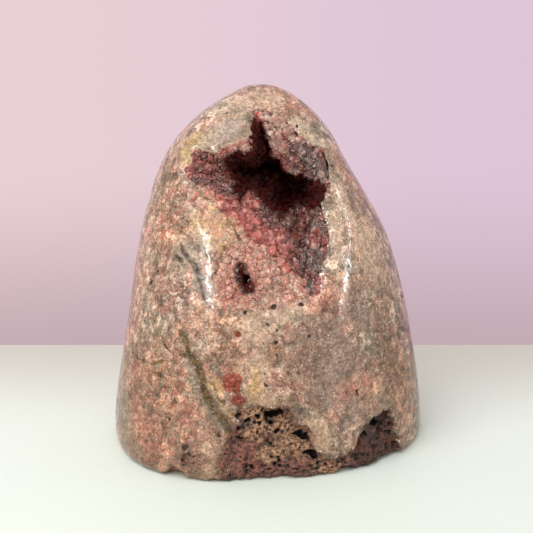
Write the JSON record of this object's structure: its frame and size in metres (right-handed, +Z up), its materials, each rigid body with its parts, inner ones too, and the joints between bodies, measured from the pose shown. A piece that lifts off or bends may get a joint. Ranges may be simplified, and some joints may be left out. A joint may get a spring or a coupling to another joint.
{
  "type": "pink amethyst geode",
  "caption": "Free-form polished stone with a flat cut base, opened at the front by a large and a small hollow lined with pink crystals.",
  "frame": {"origin": "middle of the flat cut base, on the surface that the stone stands on", "axes": "+Z up towards the rounded apex, -Y out of the front where the hollows open, +X to the right seen from the front"},
  "size_m": [0.1258, 0.0972, 0.14],
  "materials": {
    "polished_stone": "hand polished, with rough unpolished rock across the foot of the front",
    "pink_amethyst": "small close-set crystals with flat glassy faces",
    "rust_quartz": "small close-set crystals stained red by iron"
  },
  "bodies": {
    "root": {"geode_stone": "polished_stone", "main_hollow_crust": "pink_amethyst", "small_hollow_crust": "rust_quartz"}
  },
  "joints": []
}
